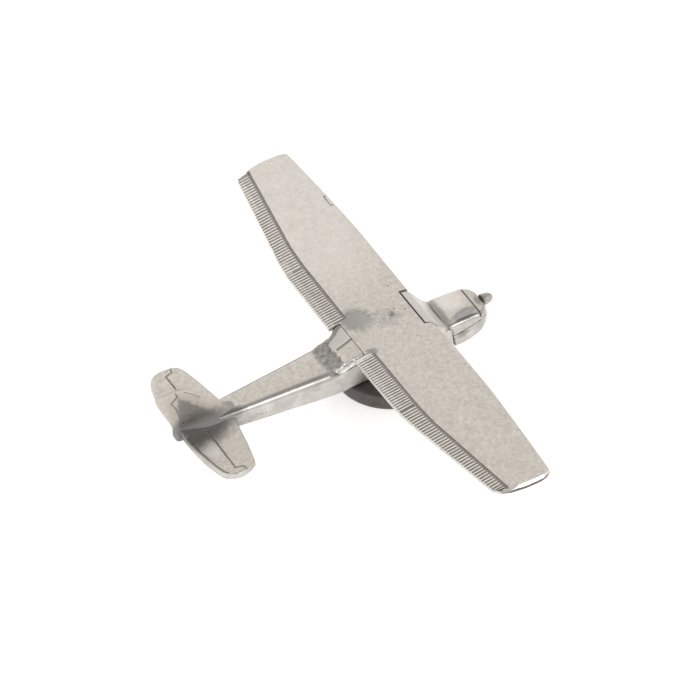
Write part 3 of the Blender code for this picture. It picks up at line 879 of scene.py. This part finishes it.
def buildCowling():
    stations = cowl["stations"]
    rings = [roundedSection(*station, cowl["ring"]) for station in stations]
    first, joined = stations[0][0], cowl["joined"]
    for ring, station in zip(rings, stations):
        if station[0] < joined:
            for point in ring:
                back = jointX(point.z)
                point.x = back + (station[0] - first) * (joined - back) / (joined - first)
    # the groove behind the nose runs over the top only
    low, high = cowl["groove"]
    smooth = roundedSection(15.86, 3.74, 3.42, 7.99, 1.05, 0.9, cowl["ring"])
    for ring, station in zip(rings, stations):
        if low <= station[0] <= high:
            for point, plain in zip(ring, smooth):
                if plain.z < 7.35:
                    point.y, point.z = plain.y, plain.z
    bm = rollRings(rings)
    for face in bm.faces:
        centre = face.calc_center_median()
        if low < centre.x < high and centre.z > 7.3:
            face.material_index = 1
    # the second, a smooth patch on the starboard top, and the third, along the rear edge, are painted dark
    # reflections; the first lightens the top, the fourth darkens the top by the spinner, and the last two
    # darken the starboard side in patches
    patches = (
        ((12.6, 1.4, 8.2), (3.6, 3.2, 1.2), 0, 0.1, 0.6, 0.98, 0.0),
        ((13.4, -2.5, 8.2), (3.4, 1.6, 1.2), -10, 0.1, 0.9, 0.29, 0.9),
        ((9.5, 0.0, 7.9), (1.5, 5.4, 1.6), 0, 0.12, 0.9, 0.3, 0.5),
        ((17.0, -0.6, 7.9), (0.7, 1.4, 0.8), 0, 0.14, 0.8, 0.3, 0.6),
        ((12.2, -3.9, 5.2), (2.6, 1.0, 0.9), 0, 0.5, 0.7, 0.3, 0.3),
        ((15.8, -3.7, 5.6), (1.4, 1.0, 1.2), 0, 0.5, 0.5, 0.4, 0.3),
    )
    skin = buildPewter("cowlPewter", patches, flatOnly=True)
    piece = placeMesh("cowlingCasting", bm, [skin, filmAndShadeMetal, filmDeep])
    for side in (1.0, -1.0):
        path = [(x, side * (3.76 if x < 15.5 else 3.5 if x < 16.5 else 3.2), z) for x, z in cowl["sideLine"]]
        engrave(piece, path, 0.2, (0, side * 1.2, 0))
    for side in (1.0, -1.0):
        for x, z, radius in cowl["studs"]:
            stud = bmesh.new()
            place = Matrix.Translation((x, side * 3.9, z))
            bmesh.ops.create_icosphere(stud, subdivisions=2, radius=radius, matrix=place)
            cutPiece(piece, stud, skin, "UNION")
    return finishPiece(piece, "airframe", "pewter", "cowling")


spinner = {
    # distance in front of the collar's back, radius
    "profile": (
        (0.0, 0.45), (0.0, 0.93), (0.06, 1.02), (0.14, 1.05), (0.55, 1.05), (0.62, 1.0), (0.68, 1.02),
        (1.2, 0.97), (1.6, 0.85), (1.95, 0.64), (2.15, 0.4), (2.26, 0.18), (2.3, 0.0),
    ),
    # the spinner's skin is a painted shade, darker than the other castings
    "look": dict(pewterLook, skin=(0.55, 0.52, 0.47), skinDark=(0.34, 0.32, 0.29)),
}


def buildSpinner():
    low, high = boxMm("spinner")
    axisZ = 0.5 * (low.z + high.z)
    profile = [(low.x + x, 0.0, axisZ + radius) for x, radius in spinner["profile"]]
    bm = turnProfile(profile, (1, 0, 0), (0, 0, axisZ), 40)
    # the dark collar at the spinner's base is painted shade next to the cowl
    patches = (((low.x, 0.0, axisZ), (0.75, 2.0, 2.0), 0, 0.2, 0.8, 0.18, 0.3),)
    skin = buildPewter("spinnerPewter", patches, grain=0.8, smoothness=0.35, look=spinner["look"])
    piece = placeMesh("spinnerCasting", bm, [skin])
    return finishPiece(piece, "spinner", "pewter", "spinner", angle=50)


tailRoot = ((0.6, -31.05), (2.1, -31.3), (3.6, -31.65), (7.9, -32.35), (11.8, -33.2))
tailRows = (0.6, 1.0, 1.4, 1.8, 2.3, 2.8, 3.5, 4.5, 6.0, 8.0, 9.6)

tail = {
    # distance from the centre line, then x of each edge there; 1 is the port half, -1 the starboard half
    "leading": {
        1: tailRoot + ((12.7, -33.6), (13.2, -34.05), (13.5, -34.75), (13.75, -36.0)),
        -1: tailRoot + ((12.5, -33.45), (12.9, -34.1), (13.2, -35.0), (13.5, -35.9)),
    },
    "trailing": {
        1: (
            (0.6, -41.4), (8.3, -40.85), (11.0, -40.25), (12.1, -39.8), (12.8, -39.3), (13.3, -38.6),
            (13.75, -37.4),
        ),
        -1: (
            (0.6, -41.3), (7.0, -40.9), (10.4, -40.2), (12.1, -39.6), (12.6, -39.2), (12.9, -38.6),
            (13.2, -38.0), (13.5, -37.4),
        ),
    },
    "rows": {
        1: tailRows + (11.0, 11.9, 12.5, 12.9, 13.2, 13.4, 13.55, 13.68, 13.75),
        -1: tailRows + (10.8, 11.6, 12.1, 12.5, 12.7, 12.95, 13.2, 13.38, 13.5),
    },
    "low": 5.2,
    "high": 6.6,
    "rootRise": 0.75,
    "hinge": {
        1: ((-36.85, 2.6), (-36.85, 12.1), (-35.5, 12.4), (-35.1, 13.9)),
        -1: ((-37.1, 2.6), (-37.1, 12.1), (-35.75, 12.4), (-35.35, 13.9)),
    },
    # all are darker tones: the port patch and the starboard root patch are painted shade round the fin's
    # foot, and the starboard patch by the hinge is a smooth patch with a painted dark reflection
    "patches": {
        1: (((-36.5, 1.5, 6.8), (6.0, 2.4, 2.0), 0, 0.12, 0.8, 0.4, 0.5),),
        -1: (
            ((-38.7, -5.8, 6.6), (2.6, 4.8, 2.0), -12, 0.1, 0.9, 0.4, 0.95),
            ((-37.8, -1.6, 7.0), (8.0, 5.4, 2.8), 0, 0.1, 0.95, 0.25, 0.35),
        ),
    },
}


def tailColumns():
    # (edge, offset inboard of it, share of thickness below the top face)
    front = [("leading", 0.0, 0.45), ("leading", 0.04, 0.22), ("leading", 0.14, 0.07), ("leading", 0.34, 0.0)]
    top = [("between", share / 10.0, 0.0) for share in range(1, 10)]
    crease = [("trailing", -0.66, 0.0), ("trailing", -0.60, "crease"), ("trailing", -0.46, "crease")]
    rear = [("trailing", -0.38, 0.01), ("trailing", -0.08, 0.03), ("trailing", 0.0, 0.16)]
    rear += [("trailing", 0.0, 0.62), ("trailing", -0.18, 0.92)]
    under = [("between", share / 6.0, 1.0) for share in range(5, 0, -1)]
    return front + top + crease + rear + under + [("leading", 0.3, 0.98), ("leading", 0.05, 0.75)]


def buildTailplane(name, side, node):
    rows, columns = tail["rows"][side], tailColumns()
    leading, trailing = tail["leading"][side], tail["trailing"][side]
    thick = tail["high"] - tail["low"]

    def tailPoint(row, column):
        distance = rows[row]
        edge, offset, drop = columns[column]
        if drop == "crease":
            drop = 0.1 if side < 0 and 2.0 < distance < 12.7 else 0.0
        front, back = stepValue(leading, distance), stepValue(trailing, distance)
        if edge == "between":
            x = front - 0.34 + (back + 0.66 - front + 0.34) * offset
        elif edge == "leading":
            x = front - offset
        else:
            x = back - offset
        rise = tail["rootRise"] * math.exp(-max(0.0, distance - 1.2) / 0.75) * (1.0 - 0.6 * drop)
        sag = 0.12 * max(0.0, distance - 9.0) / 4.4
        z = tail["high"] - sag + rise - drop * thick
        tip = rows[-1]
        if distance > tip - 0.25:
            squeeze = stepValue(((tip - 0.25, 1.0), (tip - 0.07, 0.9), (tip, 0.7)), distance)
            middle = tail["high"] - sag - 0.55 * thick
            z = middle + (z - middle) * squeeze
        return Vector((x, side * distance, z))

    bm = rollSkin(len(rows), len(columns), tailPoint)
    for face in bm.faces:
        centre = face.calc_center_median()
        back = stepValue(trailing, abs(centre.y))
        if side < 0 and back + 0.46 < centre.x < back + 0.6 and centre.z > 6.2 and 2.0 < abs(centre.y) < 12.6:
            face.material_index = 1
    skin = buildPewter(name + "Pewter", tail["patches"][side], flatOnly=True)
    piece = placeMesh(name, bm, [skin, filmAndShadeMetal])
    path = [(x, side * y, tail["high"] - 0.16) for x, y in tail["hinge"][side]]
    engrave(piece, path, 0.34, (0, 0, 0.5))
    return finishPiece(piece, "airframe", "pewter", node)


fin = {
    # height, x of the leading and trailing edge, half thickness: the foot flares into the tail cone
    "rows": (
        (6.3, -30.9, -41.49, 3.1),
        (6.75, -30.8, -41.9, 2.65),
        (7.15, -30.6, -42.05, 2.15),
        (7.55, -30.4, -42.2, 1.65),
        (8.0, -30.9, -42.35, 1.26),
        (8.5, -31.8, -42.55, 1.02),
        (9.2, -32.6, -42.8, 0.86),
        (10.2, -33.65, -43.25, 0.74),
        (11.5, -34.95, -43.85, 0.66),
        (12.8, -36.2, -44.38, 0.6),
        (14.2, -37.65, -44.95, 0.58),
        (15.2, -38.7, -45.3, 0.56),
        (15.9, -39.35, -45.43, 0.55),
        (16.2, -39.75, -45.46, 0.54),
        (16.4, -40.15, -45.46, 0.47),
        (16.5, -40.45, -45.4, 0.36),
    ),
    "ring": 36,
    "rudder": ((-42.0, 16.8), (-41.44, 15.47), (-42.65, 14.25), (-41.8, 12.8), (-41.1, 10.4), (-40.5, 8.4)),
}


def buildFin():
    rows, ring = fin["rows"], fin["ring"]

    def finPoint(row, column):
        z, front, back, half = rows[row]
        angle = 2 * math.pi * column / ring
        share = 0.5 - 0.5 * math.cos(angle)  # 0 at the leading edge, 1 at the trailing edge
        blunt = abs(math.sin(angle)) ** 0.55
        taper = 1.0 - 0.42 * share
        y = math.copysign(half * blunt * taper, math.sin(angle))
        return Vector((front + (back - front) * share, y, z))

    bm = rollSkin(len(rows), ring, finPoint)
    # the fin's foot is painted shade where it meets the tail cone and tailplanes
    patches = (((-37.6, 0.0, 6.4), (10.6, 5.5, 4.2), 0, 0.08, 0.95, 0.23, 0.25),)
    # a painted dark reflection covers the fin from its foot up to a line below the leading edge, as far back
    # as the rudder
    wedges = (((-38.2, 0, 12.0), (-0.707, 0, -0.707), (-41.3, 0, 10.0), (1, 0, 0), 0.8, 0.33),)
    # the fin's whole skin is painted darker than the other castings, as painted shade
    look = dict(pewterLook, skin=(0.70, 0.655, 0.60))
    skin = buildPewter("finPewter", patches, grain=0.9, wedges=wedges, look=look)
    piece = placeMesh("finCasting", bm, [skin, filmAndShadeMetal, filmDeep])
    for side in (1.0, -1.0):
        engrave(piece, [(x, side * 0.34, z) for x, z in fin["rudder"]], 0.34, (0, side * 0.9, 0))
    # a row of small cast dimples behind the leading edge
    dimples = []
    for step in range(9):
        for side in (1, -1):
            dimples.append((-39.9 + 0.34 * step, side * 0.42, 15.7 - 0.32 * step, 0.18))
    cutPiece(piece, pitMesh(dimples, 12), filmAndShadeMetal, selfCrossing=True)
    return finishPiece(piece, "airframe", "pewter", "fin")


solder = {
    # the darker look is painted shade over the solder's duller grey; the starboard run's light look is the
    # same solder painted much lighter, a painted highlight
    "look": dict(
        pewterLook, skin=(0.46, 0.44, 0.41), skinDark=(0.20, 0.19, 0.175),
        rough=0.46, smoothRough=0.26, grainDepth=0.0001,
    ),
    "paintedHighlightLook": dict(
        pewterLook, skin=(0.92, 0.90, 0.87), skinDark=(0.42, 0.40, 0.37),
        rough=0.4, smoothRough=0.16, grainDepth=0.00006,
    ),
    "voxel": 0.1,
    "runs": {
        # centre, size and lean of each lump; the port run hugs the narrower side of the rear window
        1: (
            ((-7.9, 3.72, 10.3), (0.9, 0.5, 0.5), -20),
            ((-8.7, 3.45, 10.1), (0.9, 0.42, 0.5), -24),
            ((-9.5, 2.98, 9.85), (0.9, 0.4, 0.42), -26),
            ((-10.3, 2.6, 9.42), (1.0, 0.42, 0.42), -30),
            ((-11.2, 2.8, 8.85), (1.2, 0.55, 0.5), -34),
            ((-12.1, 3.05, 8.35), (1.2, 0.6, 0.4), -16),
        ),
        -1: (
            ((-7.9, -3.95, 10.1), (0.9, 0.5, 0.6), -20),
            ((-8.8, -3.85, 9.75), (1.1, 0.55, 0.7), -24),
            ((-9.8, -3.7, 9.3), (1.2, 0.6, 0.75), -30),
            ((-10.9, -3.5, 8.75), (1.2, 0.62, 0.65), -30),
            ((-12.0, -3.3, 8.3), (1.2, 0.6, 0.4), -16),
        ),
    },
}


def buildSolder(name, node, lumps, seed, wobble, look, smoothness):
    # overlapping lumps melted into one smear, then crumpled
    bm = bmesh.new()
    for centre, size, lean in lumps:
        place = Matrix.Translation(centre) @ Matrix.Rotation(math.radians(lean), 4, "Y")
        place = place @ Matrix.Diagonal((*size, 1.0))
        bmesh.ops.create_icosphere(bm, subdivisions=3, radius=1.0, matrix=place)
    piece = placeMesh(name, bm, [])
    melt = piece.modifiers.new("melt", "REMESH")
    melt.mode = "VOXEL"
    melt.voxel_size = solder["voxel"]
    bakeModifiers(piece)
    bm = bmesh.new()
    bm.from_mesh(piece.data)
    for _ in range(6):
        bmesh.ops.smooth_vert(
            bm, verts=bm.verts, factor=0.5, use_axis_x=True, use_axis_y=True, use_axis_z=True
        )
    shift = Vector((seed * 3.1, seed * 1.7, 0))
    for vert in bm.verts:
        push = noise.noise(vert.co * 0.6 + shift) * 0.3 + noise.noise(vert.co * 1.6 + shift) * 0.1
        vert.co += vert.normal * push * wobble
    bm.to_mesh(piece.data)
    bm.free()
    metal = buildPewter(name + "Metal", (), smoothness=smoothness, look=solder[look])
    piece.data.materials.append(metal)
    return finishPiece(piece, "airframe", "solder", node, angle=80)


def buildAllSolder():
    rear = []
    for y in (-2.9, -1.5, 0.0, 1.4, 2.5):
        rear.append(((-10.9, y, 8.75), (1.5, 1.1, 0.62), -32))
        rear.append(((-12.2, y, 8.18), (1.5, 1.1, 0.34), -10))
    buildSolder("solderRear", "solder_fillet_rear", rear, 1, 0.6, "look", 0.35)
    # the rear and port runs take the painted shade, the starboard run the painted highlight
    for name, node, side, seed, look, smoothness in (
        ("solderLeft", "solder_fillet_left", 1, 2, "look", 0.5),
        ("solderRight", "solder_fillet_right", -1, 3, "paintedHighlightLook", 0.85),
    ):
        run = solder["runs"][side]
        buildSolder(name, node, run, seed, 0.7, look, smoothness)


def buildMagnet():
    low, high = boxMm("magnet")
    radius = 0.5 * (high.x - low.x)
    top = high.z
    profile = ((0.0, 0.0), (radius - 0.3, 0.0), (radius - 0.08, 0.1), (radius, 0.32), (radius, top - 0.36))
    profile += ((radius - 0.1, top - 0.12), (radius - 0.34, top), (0.0, top))
    bm = turnProfile([(across, 0.0, up) for across, up in profile], (0, 0, 1), (0, 0, 0), 96)
    piece = placeMesh("magnetDisc", bm, [buildFerrite()])
    return finishPiece(piece, "airframe", "ferrite", "magnet", angle=50)


def buildFerrite():
    material, tree, shader = startMaterial("ferriteGrey")
    sand = useGroup(tree, "sandGrain", Grain_Size=3400.0, Cloud_Size=500.0)
    dull = useGroup(tree, "tarnish", Edge=0.0003)
    base = addMix(tree, sand.outputs["Cloud"], (0.060, 0.050, 0.047), (0.105, 0.092, 0.088))
    base = addMix(tree, times(tree, sand.outputs["Speckle"], 0.35), base, (0.17, 0.15, 0.145))
    # the lighter edges are partly chipped ferrite and partly a painted highlight on the chamfers
    base = addMix(tree, times(tree, dull.outputs["Rub"], 0.7), base, (0.42, 0.40, 0.39))
    tree.links.new(base, shader.inputs["Base Color"])
    tree.links.new(addRange(tree, sand.outputs["Cloud"], 0.0, 1.0, 0.32, 0.5), shader.inputs["Roughness"])
    typeIn(shader, Metallic=0.35)
    addBump(tree, shader, sand.outputs["Height"], 0.00002)
    return material


def buildPlain(name, colour, metallic, roughness, spread):
    material, tree, shader = startMaterial(name)
    typeIn(shader, Metallic=metallic)
    sand = useGroup(tree, "sandGrain", Grain_Size=2200.0)
    darker = tuple(c * (1.0 - spread) for c in colour)
    tree.links.new(addMix(tree, sand.outputs["Cloud"], colour, darker), shader.inputs["Base Color"])
    rough = addRange(tree, sand.outputs["Speckle"], 0.0, 1.0, roughness, roughness + 0.12)
    tree.links.new(rough, shader.inputs["Roughness"])
    return material


def dressHidden():
    # the pins, the spinner's shaft and the glue pad keep their CAD shape
    steel = buildPlain("drawnSteel", (0.55, 0.55, 0.56), 1.0, 0.3, 0.25)
    glue = buildPlain("curedGlue", (0.72, 0.68, 0.55), 0.0, 0.35, 0.15)
    for node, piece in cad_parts.items():
        if "_pin" in node or node in ("glue_pad", "spinner_shaft"):
            for slot in piece.material_slots:
                slot.material = glue if node == "glue_pad" else steel


view = {
    "azimuth": -30.048,
    "elevation": 46.184,
    "roll": 0.527,
    "distance": 1.268,
    "lens": 384.49,
    "target": Vector((-0.006635, 0.002012, 0.006)),
}


def backwards(azimuth, elevation):
    # from the object towards a camera or a lamp
    return Vector((
        math.sin(azimuth) * math.cos(elevation),
        -math.cos(azimuth) * math.cos(elevation),
        math.sin(elevation),
    ))


def addCamera():
    azimuth, elevation, roll = (math.radians(view[key]) for key in ("azimuth", "elevation", "roll"))
    back = backwards(azimuth, elevation)
    level = Vector((math.cos(azimuth), math.sin(azimuth), 0))
    right = level * math.cos(roll) - back.cross(level) * math.sin(roll)
    place = Matrix((right, back.cross(right), back)).transposed().to_4x4()
    place.translation = view["target"] + back * view["distance"]
    data = bpy.data.cameras.new("camera")
    data.lens = view["lens"]
    data.sensor_width = 36
    data.clip_start = 0.05
    data.clip_end = 10
    camera = bpy.data.objects.new("camera", data)
    bpy.context.scene.collection.objects.link(camera)
    camera.matrix_world = place
    bpy.context.scene.camera = camera


def addFloor():
    bm = bmesh.new()
    bmesh.ops.create_grid(bm, x_segments=2, y_segments=2, size=1.5)
    material, _, shader = startMaterial("paleFloor")
    typeIn(shader, Base_Color=(0.86, 0.86, 0.86, 1), Roughness=0.9, Specular_IOR_Level=0.1)
    typeIn(shader, Emission_Color=(1, 1, 1, 1), Emission_Strength=0.55)
    floor = placeMesh("floor", bm, [material])
    floor.location.z = -0.00002


def addLamp(name, azimuth, elevation, distance, width, height, power):
    back = backwards(math.radians(azimuth), math.radians(elevation))
    data = bpy.data.lights.new(name, "AREA")
    data.shape = "RECTANGLE"
    data.size = width
    data.size_y = height
    data.energy = power
    lamp = bpy.data.objects.new(name, data)
    bpy.context.scene.collection.objects.link(lamp)
    lamp.location = back * distance
    lamp.rotation_euler = back.to_track_quat("Z", "Y").to_euler()


def addStudio():
    world = bpy.data.worlds.new("studio")
    bpy.context.scene.world = world
    world.use_nodes = True
    tree = world.node_tree
    parts = addNode(tree, "ShaderNodeSeparateXYZ")
    tree.links.new(addNode(tree, "ShaderNodeTexCoord").outputs["Generated"], parts.inputs[0])
    ramp = addNode(tree, "ShaderNodeValToRGB")
    tree.links.new(parts.outputs["Z"], ramp.inputs[0])
    ramp.color_ramp.elements[0].position = 0.0
    ramp.color_ramp.elements[0].color = (0.8, 0.8, 0.8, 1)
    ramp.color_ramp.elements[1].position = 1.0
    ramp.color_ramp.elements[1].color = (0.75, 0.75, 0.75, 1)
    for place, grey in ((0.3, 0.85), (0.55, 0.72), (0.74, 0.66), (0.84, 0.3), (0.95, 0.3)):
        stop = ramp.color_ramp.elements.new(place)
        stop.color = (grey, grey, grey, 1)
    tree.links.new(ramp.outputs[0], tree.nodes["Background"].inputs[0])
    addLamp("starboardSoftbox", 26, 42, 1.2, 0.5, 0.22, 1.8)
    addLamp("farSoftbox", 165, 44, 1.3, 0.9, 0.45, 1.6)
    addLamp("portSoftbox", 250, 40, 1.4, 0.6, 0.6, 1.2)


addCamera()
addFloor()
addStudio()
bpy.context.scene.view_settings.view_transform = "Standard"
print("camera, floor and light placed")

buildWing()
buildFuselage()
buildCowling()
buildSpinner()
buildTailplane("tailplaneLeft", 1, "tailplane_left")
buildTailplane("tailplaneRight", -1, "tailplane_right")
buildFin()
buildAllSolder()
buildMagnet()
dressHidden()
print("pieces built")
